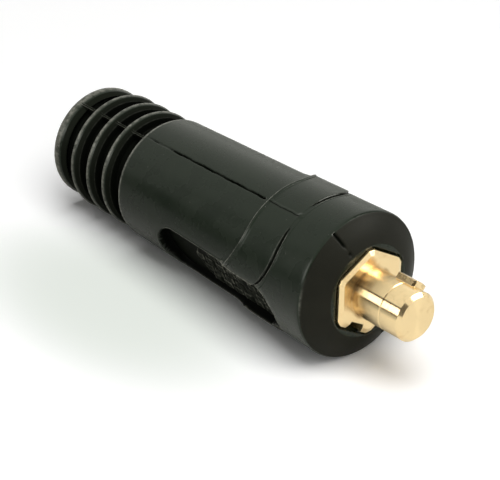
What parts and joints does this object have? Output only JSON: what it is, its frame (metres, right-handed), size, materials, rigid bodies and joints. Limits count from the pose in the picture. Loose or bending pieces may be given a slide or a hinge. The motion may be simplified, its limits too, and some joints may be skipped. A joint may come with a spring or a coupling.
{
  "type": "welding cable plug",
  "caption": "Quarter-turn welding cable plug: brass bayonet pin with hexagonal collar in a ribbed, tapered black rubber sleeve with grip recesses.",
  "frame": {"origin": "middle of the rear face, where the cable enters; the plug stands on this face", "axes": "+Z along the plug's axis, up towards the contact pin; the sleeve's parting lines on +Y and -Y, its grip recesses on +X and -X"},
  "size_m": [0.0392, 0.0392, 0.1293],
  "materials": {
    "black_rubber": "moulded, satin",
    "polished_brass": "turned and polished",
    "copper": "drawn, bare",
    "zinc_steel": "zinc plated"
  },
  "bodies": {
    "root": {"insulating_sleeve": "black_rubber", "contact_body": "polished_brass", "wire_ferrule": "copper", "clamp_screw_front": "zinc_steel", "clamp_screw_rear": "zinc_steel"}
  },
  "joints": []
}
